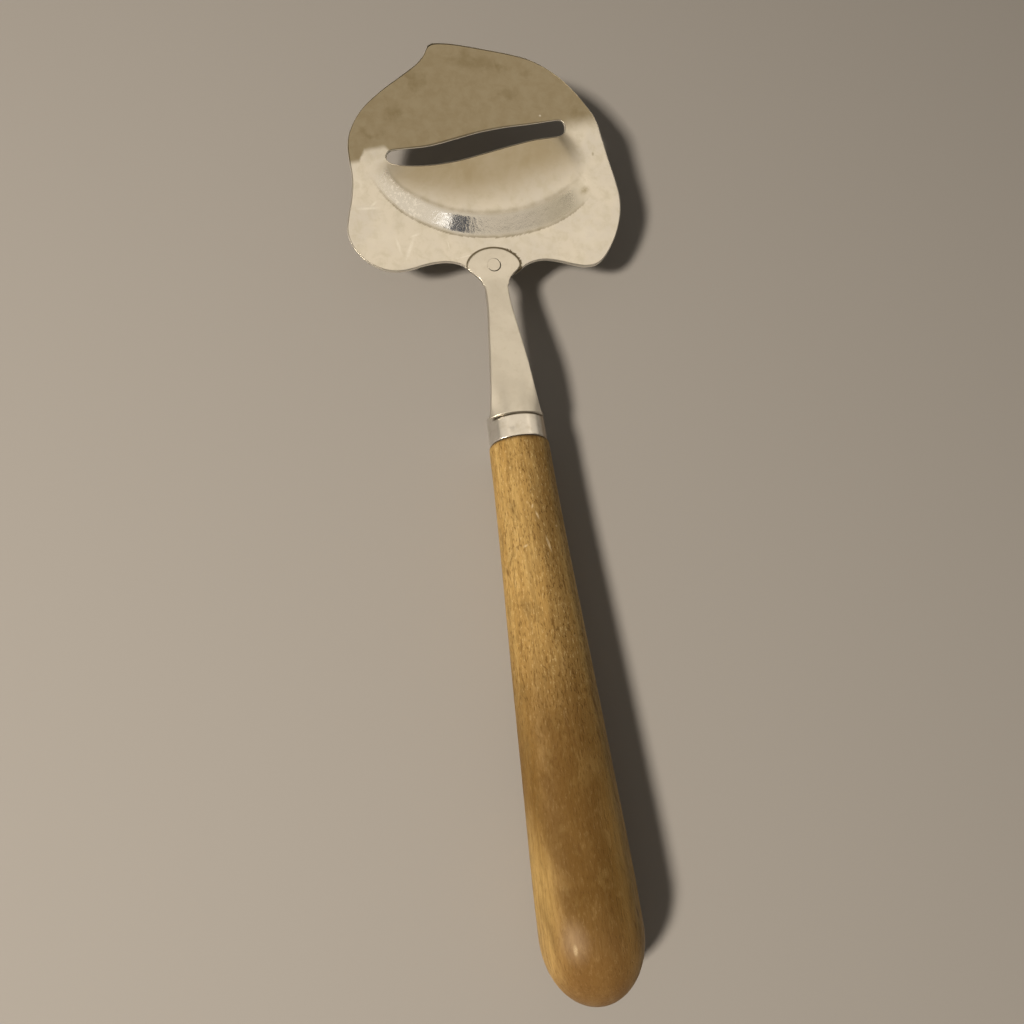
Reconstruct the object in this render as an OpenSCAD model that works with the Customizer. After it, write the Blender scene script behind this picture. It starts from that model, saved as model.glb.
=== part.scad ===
// Hand cheese slicer: scalloped steel plate with a slanted S-shaped slot and a raised
// crescent step behind it, a pressed tapering shank held by one flush rivet, a short
// ferrule and a turned wooden handle. Units are millimetres. Y runs from the butt of the
// handle to the front of the plate, Z is up, and the handle's lowest line is at z = 0.

/* [Plate] */
// Thickness of the plate sheet
plate_t = 0.9; // [0.7:0.1:1.2]
// Pitch of the rear part of the plate, rising towards its front, in degrees
plate_pitch = 9; // [7:0.5:11]
// Downward bend of the front part of the plate against the rear part, in degrees
front_bend = 4; // [2:0.5:6]
// Height of the raised crescent above the plate
step_h = 2.4; // [1.2:0.2:3]
// Width of the sloping band round the raised crescent
step_w = 6.3; // [4.5:0.1:7]

/* [Shank] */
// Thickness of the shank sheet
shank_t = 0.9; // [0.7:0.1:1.1]
// Radius of the fan-shaped head
head_r = 7.1; // [6.6:0.1:7.6]
// Half width of the neck behind the head
neck_hw = 3.15; // [2.8:0.05:3.6]
// Half width of the rear end over the ferrule
rear_hw = 6.85; // [6.2:0.05:7.2]
// Depth of the turned-down edges below the top of the shank
flange_h = 2.3; // [1.6:0.1:2.8]
// Distance of the shank to the left of the handle's line
shank_off = 0.45; // [0:0.05:0.8]

/* [Rivet] */
// Diameter of the rivet
rivet_d = 3.5; // [3:0.1:4]
// Diameter of the flat rivet head under the plate
rivet_head_d = 5.6; // [5:0.1:6.4]

/* [Ferrule and tang] */
// Outer radius of the ferrule
ferrule_r = 7.5; // [7.3:0.05:7.6]
// Length of the ferrule
ferrule_len = 7.6; // [6.8:0.2:8.4]
// Wall thickness of the ferrule
ferrule_wall = 0.8; // [0.6:0.1:1.1]
// Width of the tang
tang_w = 5.6; // [4.6:0.2:6]
// Thickness of the tang
tang_t = 2; // [1.6:0.1:2.4]
// Depth of the tang in the handle
tang_deep = 60; // [40:5:80]

/* [Handle] */
// Length of the wooden handle up to the ferrule
handle_len = 130.4; // [125:0.2:134]
// Largest radius of the handle, near its butt
handle_r = 12; // [12:0.5:13]
// Radius of the wood where it meets the ferrule
front_r = 7.8; // [7.7:0.1:8]

/* [Hidden] */
$fn = 96;
e = 0.01;
// rivet station along the handle's line, and height of the plate's top face there
rivet_y = 50;
plate_z = 4.1;
// the shank's top line, from its rear end on the ferrule down to the plate
shank_y0 = 5.9;
shank_z0 = ferrule_r + shank_t;
shank_y1 = 45.6;
shank_z1 = plate_z + (shank_y1 - rivet_y) * tan(plate_pitch) + shank_t;
shank_slope = atan((shank_z0 - shank_z1) / (shank_y1 - shank_y0));
// bend line of the plate: v = fold_v + fold_k * u
fold_v = 36;
fold_k = 0.155;
spigot_r = ferrule_r - ferrule_wall;
// the part's frame: middle of the overall box in X and Y, lowest line at z = 0
org = [0.4, 7.4275, handle_r];

// Catmull-Rom curves through a short list of stations
function cr(a, b, c, d, t) = 0.5 * (2 * b + (c - a) * t + (2 * a - 5 * b + 4 * c - d) * t * t
    + (3 * b - a - 3 * c + d) * t * t * t);
function loop(P, n) = let (m = len(P))
    [for (i = [0 : m - 1]) for (j = [0 : n - 1])
        cr(P[(i + m - 1) % m], P[i], P[(i + 1) % m], P[(i + 2) % m], j / n)];
function at(P, s) = let (m = len(P) - 1, x = min(max(s, 0), 1) * m, i = min(floor(x), m - 1))
    cr(P[max(i - 1, 0)], P[i], P[i + 1], P[min(i + 2, m)], x - i);

// outline of the plate, laid flat, from the beak clockwise; the rivet is at [0, 0]
outline = [[-11, 65.4], [-9.3, 66], [-4.6, 65.7], [3, 64.1], [11.6, 62], [17.4, 59.9],
    [22.8, 56.2], [27.2, 51.5], [30.9, 46], [33.5, 40.7], [34.7, 34.5], [35.6, 29],
    [36.7, 23.4], [37.4, 17.8], [36.9, 12.8], [35, 7.4], [32, 2.2], [29, -0.8], [25.6, -1.6],
    [21.8, -0.9], [17, 0.5], [13, 1], [9, 0], [5, -2.6], [0, -3.2], [-5, -2.2], [-9, 0.8],
    [-13, 1.8], [-18, 1.4], [-23, 0.2], [-27.4, 0], [-31.4, 1.4], [-34.8, 4], [-37.3, 7.8],
    [-38.2, 11.8], [-37.5, 16], [-36.2, 21.2], [-35.6, 26.4], [-35.9, 31.6], [-35.8, 36.6],
    [-34.3, 41.3], [-31.1, 46.4], [-26, 51.3], [-20, 55.8], [-15.4, 59.3], [-13, 61.9],
    [-11.9, 63.9]];
// front and rear lips of the slot, from left to right
lip_f = [[-25.6, 32.6], [-24.8, 33.6], [-21, 34], [-14, 34.6], [-7, 36.3], [0, 38.1],
    [7, 39.3], [15, 40.1], [22.4, 41], [23.8, 40.6], [24.2, 39.4]];
lip_r = [[-25.9, 31.6], [-25.2, 30.5], [-23.8, 29.6], [-20.5, 28.5], [-14.3, 28.1],
    [-7.4, 28.8], [0, 30.6], [7, 32.4], [14.3, 34.1], [20.4, 35.1], [22.6, 35.9], [23.9, 37.4],
    [24.2, 38.6]];
// foot of the crescent step, from left to right
foot = [[-32, 29.6], [-30.2, 25], [-26.3, 19.1], [-20.7, 14.1], [-10.9, 9.4], [0, 7.8],
    [10, 8.6], [19.3, 11.4], [26.4, 15.8], [30.6, 21], [31.4, 27.6], [29.6, 35.4]];

NS = 40;
NT = 8;
lip_pts = [for (i = [0 : NS]) at(lip_r, i / NS)];
foot_pts = [for (i = [0 : NS]) at(foot, i / NS)];
function smooth(x) = let (c = min(max(x, 0), 1)) c * c * (3 - 2 * c);
// height of the raised sheet at station i along the step, fraction j from foot to lip
function rise(i, j) = let (len_ = norm(lip_pts[i] - foot_pts[i]), d = j / NT * len_,
    s = i / NS, ends = (1 - pow(abs(2 * s - 1), 3)) * smooth(s / 0.42) * smooth((1 - s) / 0.34))
    step_h * ends * (0.84 * smooth(d / step_w) + 0.16 * sin(90 * j / NT));
sheet = [for (lay = [0, 1]) for (i = [0 : NS]) for (j = [0 : NT])
    let (q = foot_pts[i] + (lip_pts[i] - foot_pts[i]) * j / NT)
    [q[0], q[1], rise(i, j) - lay * plate_t]];
function id(lay, i, j) = lay * (NS + 1) * (NT + 1) + i * (NT + 1) + j;
sheet_faces = concat(
    [for (i = [0 : NS - 1]) for (j = [0 : NT - 1]) each
        [[id(0, i, j), id(0, i, j + 1), id(0, i + 1, j + 1)],
         [id(0, i, j), id(0, i + 1, j + 1), id(0, i + 1, j)],
         [id(1, i, j), id(1, i + 1, j + 1), id(1, i, j + 1)],
         [id(1, i, j), id(1, i + 1, j), id(1, i + 1, j + 1)]]],
    [for (i = [0 : NS - 1]) each
        [[id(0, i, 0), id(0, i + 1, 0), id(1, i + 1, 0)], [id(0, i, 0), id(1, i + 1, 0), id(1, i, 0)],
         [id(0, i, NT), id(1, i + 1, NT), id(0, i + 1, NT)], [id(0, i, NT), id(1, i, NT), id(1, i + 1, NT)]]],
    [for (j = [0 : NT - 1]) each
        [[id(0, 0, j), id(1, 0, j + 1), id(0, 0, j + 1)], [id(0, 0, j), id(1, 0, j), id(1, 0, j + 1)],
         [id(0, NS, j), id(0, NS, j + 1), id(1, NS, j + 1)], [id(0, NS, j), id(1, NS, j + 1), id(1, NS, j)]]]);

module in_plate() translate([0, rivet_y, plate_z]) rotate([plate_pitch, 0, 0]) children();

// half plane in front of (side = 1) or behind (side = -1) the bend line
module fold_side(side) translate([0, fold_v]) rotate(atan(fold_k))
    translate([-60, side > 0 ? 0 : -80]) square([120, 80]);

module slot_area() polygon(concat([for (i = [0 : 30]) at(lip_f, i / 30)],
    [for (i = [NS : -1 : 0]) lip_pts[i]]));

module step_area() polygon(concat(foot_pts, [for (i = [NS : -1 : 0]) lip_pts[i]]));

module slicer_plate() color("silver") translate(org) in_plate() {
    difference() {
        union() {
            translate([0, 0, -plate_t]) linear_extrude(plate_t) intersection() {
                difference() {
                    polygon(loop(outline, 3));
                    slot_area();
                    step_area();
                }
                fold_side(-1);
            }
            // front part, turned down about the bend line on the upper face
            translate([0, fold_v, 0]) rotate([0, 0, atan(fold_k)]) rotate([-front_bend, 0, 0])
                rotate([0, 0, -atan(fold_k)]) translate([0, -fold_v, -plate_t])
                linear_extrude(plate_t) intersection() {
                    difference() {
                        polygon(loop(outline, 3));
                        slot_area();
                    }
                    fold_side(1);
                }
            polyhedron(sheet, sheet_faces);
        }
        translate([-shank_off, 0, -3]) cylinder(h = 6, d = rivet_d + 0.06);
    }
}

module blade_rivet() color("gainsboro") translate(org) in_plate() translate([-shank_off, 0, 0]) {
    translate([0, 0, -plate_t - 0.1]) cylinder(h = plate_t + shank_t + 0.1, d = rivet_d);
    translate([0, 0, -plate_t - 0.7]) cylinder(h = 0.7, d1 = rivet_head_d - 1, d2 = rivet_head_d);
}

// one side of the shank in plan, from the neck back to its end on the ferrule
side_hw = [[neck_hw + 0.5, 46.4], [neck_hw + 0.05, 44], [neck_hw, 41], [neck_hw + 0.15, 37],
    [4.15, 29], [4.95, 21], [5.85, 12.7], [rear_hw, shank_y0]];
side_pts = [for (i = [0 : 20]) at(side_hw, i / 20)];
function mirrored(P) = [for (i = [len(P) - 1 : -1 : 0]) [-P[i][0], P[i][1]]];

function inset(P, d) = [for (q = P) [q[0] - d, q[1]]];
module body_area(d) polygon(concat(inset(side_pts, d), mirrored(inset(side_pts, d))));

// sheet cone whose top line is the shank's top line, opening towards the plate
cone_a = 14;
module cone_skin(depth) {
    g = shank_slope + cone_a;
    back = 5;
    top = [0, shank_y0 - back, shank_z0 + back * tan(shank_slope)];
    start = top - ferrule_r * 1.12 * [0, sin(g), cos(g)];
    translate(start) rotate([-(90 + g), 0, 0]) difference() {
        cylinder(h = 56, r1 = ferrule_r * 1.12, r2 = ferrule_r * 1.12 + 56 * tan(cone_a));
        translate([0, 0, -e]) cylinder(h = 56 + 2 * e, r1 = ferrule_r * 1.12 - depth / cos(cone_a),
            r2 = ferrule_r * 1.12 + 56 * tan(cone_a) - depth / cos(cone_a));
    }
}

head = [[neck_hw, -6.4], [neck_hw + 0.5, -4.5], [5.0, -2.9], [6.6, -1.4], [head_r, -0.2],
    [6.7, 1.2], [5.4, 2.75], [3, 4.05], [0, 4.6]];
head_pts = [for (i = [0 : 28]) at(head, i / 28)];

module shank() color("silver") translate(org) translate([-shank_off, 0, 0]) {
    difference() {
        union() {
            intersection() {
                translate([0, 0, -6]) linear_extrude(20) body_area(0);
                cone_skin(shank_t);
            }
            intersection() {
                translate([0, 0, -6]) linear_extrude(20) difference() {
                    body_area(0);
                    translate([0, -1]) body_area(shank_t);
                    translate([0, 1]) body_area(shank_t);
                }
                cone_skin(flange_h);
            }
        }
        // clear of the ferrule, of the face the head lies on, and square at the rear
        translate([shank_off, -1, 0]) rotate([-90, 0, 0]) cylinder(h = ferrule_len + 1.02, r = ferrule_r + 0.01);
        in_plate_local() translate([-20, -5.2, -10]) cube([40, 30, 10]);
    }
    in_plate_local() difference() {
        linear_extrude(shank_t) polygon(concat(head_pts, mirrored(head_pts)));
        translate([0, 0, -1]) cylinder(h = 4, d = rivet_d + 0.06);
    }
}
module in_plate_local() in_plate() children();

// flat bar: joined under the shank's roof, cranked down and driven into the handle
tang_y1 = 34;
tang_y2 = 16;
function under(y) = shank_z0 - (y - shank_y0) * tan(shank_slope) - shank_t - 0.02;
tang_side = [[-tang_deep, -tang_t / 2], [ferrule_len + 0.8, -tang_t / 2], [tang_y2 + 0.6, under(tang_y2) - tang_t],
    [tang_y1, under(tang_y1) - tang_t], [tang_y1, under(tang_y1)], [tang_y2, under(tang_y2)],
    [ferrule_len, tang_t / 2], [-tang_deep, tang_t / 2]];

module tang() color("darkgray") translate(org)
    translate([-tang_w / 2, 0, 0]) rotate([90, 0, 90]) linear_extrude(tang_w) polygon(tang_side);

module ferrule() color("silver") translate(org) rotate([-90, 0, 0]) difference() {
    cylinder(h = ferrule_len, r = ferrule_r);
    translate([0, 0, -1]) cylinder(h = ferrule_len + 2, r = spigot_r + 0.01);
}

// half profile of the wood: [distance behind the ferrule, radius]
body_len = handle_len - 14.6;
wood = [[0.6, front_r], [14, 8.2], [30, 8.75], [58, 9.95], [87, 11.1], [104, 11.75], [body_len, handle_r]];
wood_pts = [for (i = [0 : 24]) let (p = at(wood, i / 24)) [min(p[1], handle_r), -p[0]]];
dome_pts = [for (a = [6 : 6 : 84]) [handle_r * cos(a), -body_len - 14.6 * sin(a)]];

module handle() color("peru") translate(org) rotate([-90, 0, 0]) difference() {
    rotate_extrude() polygon(concat([[0, ferrule_len - 0.3], [spigot_r - 0.5, ferrule_len - 0.3],
        [spigot_r, ferrule_len - 0.8], [spigot_r, 0], [front_r - 0.6, 0], [front_r - 0.18, -0.18]],
        wood_pts, dome_pts, [[0, -handle_len]]));
    translate([-tang_w / 2 - 0.02, -tang_t / 2 - 0.02, -tang_deep - 0.5])
        cube([tang_w + 0.04, tang_t + 0.04, tang_deep + 20]);
}

slicer_plate();
blade_rivet();
shank();
tang();
ferrule();
handle();
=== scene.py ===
import bpy, math
import numpy as np
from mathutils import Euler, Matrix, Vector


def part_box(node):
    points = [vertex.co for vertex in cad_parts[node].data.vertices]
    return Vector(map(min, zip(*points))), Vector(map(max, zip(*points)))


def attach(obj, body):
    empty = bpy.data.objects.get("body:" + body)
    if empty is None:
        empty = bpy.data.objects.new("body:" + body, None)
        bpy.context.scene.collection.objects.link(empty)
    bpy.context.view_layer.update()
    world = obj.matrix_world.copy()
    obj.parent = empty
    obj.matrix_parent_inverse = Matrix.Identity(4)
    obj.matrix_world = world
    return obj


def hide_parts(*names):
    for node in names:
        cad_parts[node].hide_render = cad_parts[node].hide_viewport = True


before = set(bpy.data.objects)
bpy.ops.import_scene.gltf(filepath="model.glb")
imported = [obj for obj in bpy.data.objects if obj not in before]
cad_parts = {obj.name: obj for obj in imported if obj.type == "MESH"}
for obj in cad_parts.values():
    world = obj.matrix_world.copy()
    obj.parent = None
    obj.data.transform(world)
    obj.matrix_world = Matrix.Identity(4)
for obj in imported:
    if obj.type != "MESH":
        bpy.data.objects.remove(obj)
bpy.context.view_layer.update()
scene = bpy.context.scene
MM = 0.001

# The working frame, in millimetres: origin on the handle's axis where the wood meets the ferrule,
# +Y towards the plate, +Z up. Everything is placed from the ferrule's box.
f_lo, f_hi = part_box("ferrule")
h_lo, h_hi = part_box("handle")
ORG = np.array([(f_lo[0] + f_hi[0]) / 2, f_lo[1], (f_lo[2] + f_hi[2]) / 2])
FERRULE_R = (f_hi[0] - f_lo[0]) / 2 / MM
FERRULE_L = (f_hi[1] - f_lo[1]) / MM
HANDLE_R = (h_hi[0] - h_lo[0]) / 2 / MM
HANDLE_L = (f_lo[1] - h_lo[1]) / MM


# ---------------------------------------------------------------- camera
CAMERA_PLACE = (-33.5, -64.3, 187.1)            # in the working frame, millimetres
CAMERA_TURN = (14.913, -6.859, -7.938)          # degrees
CAMERA_LENS, CAMERA_SENSOR = 27.04, 36          # millimetres


def build_camera():
    """The camera above the handle's left side, at the photograph's viewing angle."""
    data = bpy.data.cameras.new("camera")
    cam = bpy.data.objects.new("camera", data)
    scene.collection.objects.link(cam)
    cam.location = ORG + np.array(CAMERA_PLACE) * MM
    cam.rotation_euler = Euler([math.radians(a) for a in CAMERA_TURN])
    data.sensor_width = CAMERA_SENSOR
    data.lens = CAMERA_LENS
    data.clip_start = 0.005
    scene.camera = cam


build_camera()


# ---------------------------------------------------------------- curve and mesh helpers
TURN_STEPS = 144                                # points round a turned part


def catmull_rom(a, b, c, d, t):
    """The curve from b to c, with a and d as their neighbours."""
    square = (2 * a - 5 * b + 4 * c - d) * t * t
    cube = (3 * b - a - 3 * c + d) * t ** 3
    return 0.5 * (2 * b + (c - a) * t + square + cube)


def loop_curve(P, n):
    """A closed curve through P, with n points to a span."""
    P = np.array(P, float)
    m = len(P)
    return np.array([catmull_rom(P[i - 1], P[i], P[(i + 1) % m], P[(i + 2) % m], j / n)
                     for i in range(m) for j in range(n)])


def open_curve(P, n):
    """An open curve through P, with n points to a span."""
    P = np.array(P, float)
    m = len(P) - 1
    out = [catmull_rom(P[max(i - 1, 0)], P[i], P[i + 1], P[min(i + 2, m)], j / n)
           for i in range(m) for j in range(n)]
    return np.array(out + [P[m]])


def resample(P, n):
    """n + 1 points evenly along an open polyline."""
    d = np.r_[0, np.cumsum(np.hypot(*(P[1:] - P[:-1]).T))]
    t = np.linspace(0, d[-1], n + 1)
    return np.stack([np.interp(t, d, P[:, k]) for k in range(P.shape[1])], -1)


def smooth(x):
    x = np.clip(x, 0, 1)
    return x * x * (3 - 2 * x)


def make(name, verts, faces, body="root"):
    """A smooth-shaded piece riding on a body, from points of the working frame."""
    mesh = bpy.data.meshes.new(name)
    points = ORG + np.asarray(verts, float) * MM
    mesh.from_pydata([tuple(v) for v in points], [], [tuple(int(i) for i in f) for f in faces])
    mesh.validate()
    mesh.update()
    mesh.polygons.foreach_set("use_smooth", [True] * len(mesh.polygons))
    ob = bpy.data.objects.new(name, mesh)
    scene.collection.objects.link(ob)
    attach(ob, body)
    return ob


def loft(rings):
    """Faces between rings of equal length, closed at both ends; rings is [station][point]."""
    R = np.asarray(rings, float)
    ns, npt = R.shape[:2]
    F = []
    for i in range(ns - 1):
        for j in range(npt):
            k = (j + 1) % npt
            F.append((i * npt + j, i * npt + k, (i + 1) * npt + k, (i + 1) * npt + j))
    F.append(tuple(range(npt - 1, -1, -1)))
    F.append(tuple((ns - 1) * npt + j for j in range(npt)))
    return R.reshape(-1, 3), F


def lathe(profile):
    """Rings about the handle's axis; profile is [(y, r)]."""
    a = np.linspace(0, 2 * math.pi, TURN_STEPS, endpoint=False)
    return [np.stack([r * np.cos(a), np.full(TURN_STEPS, y), -r * np.sin(a)], -1) for y, r in profile]


# ---------------------------------------------------------------- plate
PLATE_T = 0.9                                   # thickness of the sheet
PITCH = math.radians(9)                         # tilt of the plate to the handle
RIVET_Y, PLATE_Z = 50.0, 4.1                    # centre of the rivet on the plate's top face
FOLD_V, FOLD_K = 36.0, 0.155                    # the fold across the plate: v = FOLD_V + FOLD_K * u
BEND = math.tan(math.radians(4))                # slope of the front part, downwards
STEP_H, STEP_W = 2.4, 6.3                       # height of the raised crescent, width of its wall

# outline of the plate, laid flat, from the beak clockwise; the rivet is at (0, 0)
OUTLINE = [(-11, 65.4), (-9.3, 66), (-4.6, 65.7), (3, 64.1), (11.6, 62), (17.4, 59.9), (22.8, 56.2),
           (27.2, 51.5), (30.9, 46), (33.5, 40.7), (34.7, 34.5), (35.6, 29), (36.7, 23.4),
           (37.4, 17.8), (36.9, 12.8), (35, 7.4), (32, 2.2), (29, -0.8), (25.6, -1.6), (21.8, -0.9),
           (17, 0.5), (13, 1), (9, 0), (5, -2.6), (0, -3.2), (-5, -2.2), (-9, 0.8), (-13, 1.8),
           (-18, 1.4), (-23, 0.2), (-27.4, 0), (-31.4, 1.4), (-34.8, 4), (-37.3, 7.8), (-38.2, 11.8),
           (-37.5, 16), (-36.2, 21.2), (-35.6, 26.4), (-35.9, 31.6), (-35.8, 36.6), (-34.3, 41.3),
           (-31.1, 46.4), (-26, 51.3), (-20, 55.8), (-15.4, 59.3), (-13, 61.9), (-11.9, 63.9)]
# front and rear lips of the slot, from left to right
LIP_F = [(-25.75, 32.0), (-25.5, 32.9), (-24.6, 33.7), (-21, 34), (-14, 34.6), (-7, 36.3), (0, 38.1),
         (7, 39.3), (15, 40.1), (22.4, 41), (23.7, 40.7), (24.2, 39.8), (24.25, 39.0)]
LIP_R = [(-25.75, 32.0), (-25.9, 31.3), (-25.2, 30.3), (-23.7, 29.4), (-20.5, 28.5), (-14.3, 28.1),
         (-7.4, 28.8), (0, 30.6), (7, 32.4), (14.3, 34.1), (20.4, 35.1), (22.6, 36.0), (23.9, 37.4),
         (24.25, 39.0)]
# foot of the crescent, from left to right
FOOT = [(-32, 29.6), (-30.2, 25), (-26.3, 19.1), (-20.7, 14.1), (-10.9, 9.4), (0, 7.8), (10, 8.6),
        (19.3, 11.4), (26.4, 15.8), (30.6, 21), (31.4, 27.6), (29.6, 35.4)]


def to_world(u, v, w):
    """Plate coordinates (flat sheet, height above its top face) to the working frame."""
    c, s = math.cos(PITCH), math.sin(PITCH)
    return np.stack([u, RIVET_Y + v * c - w * s, PLATE_Z + v * s + w * c], -1)


def fold_dist(u, v):
    return (v - FOLD_V - FOLD_K * u) / math.hypot(1, FOLD_K)


def bend_height(u, v):
    d = fold_dist(u, v)
    half = 0.9                                  # half the width of the rounded bend
    soft = (d + half) ** 2 / (4 * half)
    return -BEND * np.where(d < -half, 0, np.where(d > half, d, soft))


# ---------------------------------------------------------------- the raised crescent
def at(P, s):
    """Point of the Catmull-Rom curve through P at the fraction s of its stations."""
    m = len(P) - 1
    x = np.clip(s, 0, 1) * m
    i = np.minimum(x.astype(int), m - 1)
    t = (x - i)[:, None]
    return catmull_rom(P[np.maximum(i - 1, 0)], P[i], P[i + 1], P[np.minimum(i + 2, m)], t)


STATION = np.linspace(0, 1, 481)
FOOT_LINE = at(np.array(FOOT, float), STATION)
LIP_LINE = at(np.array(LIP_R[1:], float), STATION)
STEP_LEN = np.hypot(*(LIP_LINE - FOOT_LINE).T)


def line_at(L, s):
    return np.stack([np.interp(s, STATION, L[:, 0]), np.interp(s, STATION, L[:, 1])], -1)


def step_place(P):
    """Station along the crescent and fraction from its foot to the slot, for points of the plate."""
    coarse, part = STATION[::6], np.linspace(0, 1, 33)
    F, L = FOOT_LINE[::6], LIP_LINE[::6]
    grid = F[:, None] + (L - F)[:, None] * part[None, :, None]
    flat = grid.reshape(-1, 2)
    s, t = np.empty(len(P)), np.empty(len(P))
    for a in range(0, len(P), 2000):
        k = ((P[a:a + 2000, None] - flat[None]) ** 2).sum(-1).argmin(1)
        s[a:a + 2000] = coarse[k // len(part)]
        t[a:a + 2000] = part[k % len(part)]
    ds = 1e-3
    for _ in range(6):
        F, L = line_at(FOOT_LINE, s), line_at(LIP_LINE, s)
        lo, hi = np.clip(s - ds, 0, 1), np.clip(s + ds, 0, 1)
        F1 = (line_at(FOOT_LINE, hi) - line_at(FOOT_LINE, lo)) / (hi - lo)[:, None]
        L1 = (line_at(LIP_LINE, hi) - line_at(LIP_LINE, lo)) / (hi - lo)[:, None]
        r = P - (F + (L - F) * t[:, None])
        a, b = F1 + (L1 - F1) * t[:, None], L - F
        det = a[:, 0] * b[:, 1] - a[:, 1] * b[:, 0]
        s = s + (r[:, 0] * b[:, 1] - r[:, 1] * b[:, 0]) / det
        t = t + (a[:, 0] * r[:, 1] - a[:, 1] * r[:, 0]) / det
        s, t = np.clip(s, 0, 1), np.clip(t, -0.5, 1.5)
    F, L = line_at(FOOT_LINE, s), line_at(LIP_LINE, s)
    miss = np.hypot(*(P - (F + (L - F) * t[:, None])).T)
    return s, t, miss < 0.05


def wall_profile(x, corner):
    """Rise from 0 to 1 with a straight middle and rounded ends, each as wide as corner."""
    x = np.clip(x, 0, 1)
    m = 1 / (1 - corner)
    return np.where(x < corner, m * x * x / (2 * corner),
                    np.where(x > 1 - corner, 1 - m * (1 - x) ** 2 / (2 * corner), m * (x - corner / 2)))


def step_height(u, v):
    """Height of the raised crescent, and where its band, its creases and the painted shade of its raised
    middle lie, from 0 to 1.
    """
    P = np.stack([u, v], -1)
    s, t, hit = step_place(P)
    inside = hit & (t > 0) & (s > 0) & (s < 1)
    d = t * np.interp(s, STATION, STEP_LEN)
    ends = (1 - np.abs(2 * s - 1) ** 3) * smooth(s / 0.42) * smooth((1 - s) / 0.34)
    fade = smooth((s - 0.62) / 0.24)            # the band runs out before the right end of the slot
    x = d / STEP_W
    wall = wall_profile(x, 0.22) * (1 - fade) + smooth(np.clip(t, 0, 1) ** 0.8) * fade
    h = STEP_H * ends * (0.84 * wall + 0.16 * np.sin(np.radians(125) * np.clip(t, 0, 1)) / 0.92)
    live = smooth((s - 0.03) / 0.20) * (1 - smooth((s - 0.66) / 0.15))
    band = live * smooth((x - 0.02) / 0.16) * smooth((1.02 - x) / 0.16)
    crease_grime_and_shade = live * (np.exp(-((d - 0.1) / 0.6) ** 2) + 0.55 * np.exp(-((d - STEP_W) / 0.7) ** 2))
    dome_shade = smooth((t - 0.22) / 0.6) * (1 - np.abs(2 * s - 1) ** 2.6)
    return tuple(np.where(inside, a, 0) for a in (h, band, crease_grime_and_shade, dome_shade))


def inward(P, d):
    """A closed loop moved by d along its left-hand normal."""
    t = np.roll(P, -1, 0) - np.roll(P, 1, 0)
    n = np.stack([-t[:, 1], t[:, 0]], -1) / np.hypot(t[:, 0], t[:, 1])[:, None]
    return P + n * d


LIP_EDGE, LIP_BEVEL = 0.22, 2.2                 # thickness of the cutting lip, width of its bevel


def sheet_thickness(u, v, lip):
    """The sheet thins towards the front lip of the slot, ground from below."""
    d = np.hypot(u[:, None] - lip[None, :, 0], v[:, None] - lip[None, :, 1])
    k = d.argmin(1)
    near = np.clip(1 - d[np.arange(len(u)), k] / LIP_BEVEL, 0, 1)
    along = k / (len(lip) - 1)
    return PLATE_T - (PLATE_T - LIP_EDGE) * near * smooth(along / 0.10) * smooth((1 - along) / 0.08)


EDGE_R = 0.14                                   # rounding of the sheet's edges
SLOT_COLUMNS = 176                              # columns of faces along the slot
FOLD_COLUMNS = 26                               # columns on each side of the slot
FRONT_ROWS, REAR_ROWS = 50, 104


def coons(base, top, left, right):
    """A grid of points that fills the space between four lines."""
    s = np.linspace(0, 1, len(base))[:, None, None]
    t = np.linspace(0, 1, len(left))[None, :, None]
    P = (1 - t) * base[:, None] + t * top[:, None] + (1 - s) * left[None] + s * right[None]
    P -= (1 - s) * (1 - t) * base[0] + s * (1 - t) * base[-1] + (1 - s) * t * top[0] + s * t * top[-1]
    return P


def even_out(G):
    """Moves the inner points of a grid between their neighbours, sixty times."""
    for _ in range(60):
        G[1:-1, 1:-1] = 0.25 * (G[:-2, 1:-1] + G[2:, 1:-1] + G[1:-1, :-2] + G[1:-1, 2:])
    return G


def grid_faces(ids, flip):
    a, b, c, d = ids[:-1, :-1].ravel(), ids[1:, :-1].ravel(), ids[1:, 1:].ravel(), ids[:-1, 1:].ravel()
    Q = np.stack([a, b, c, d], -1)
    return Q[:, ::-1] if flip else Q


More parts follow.
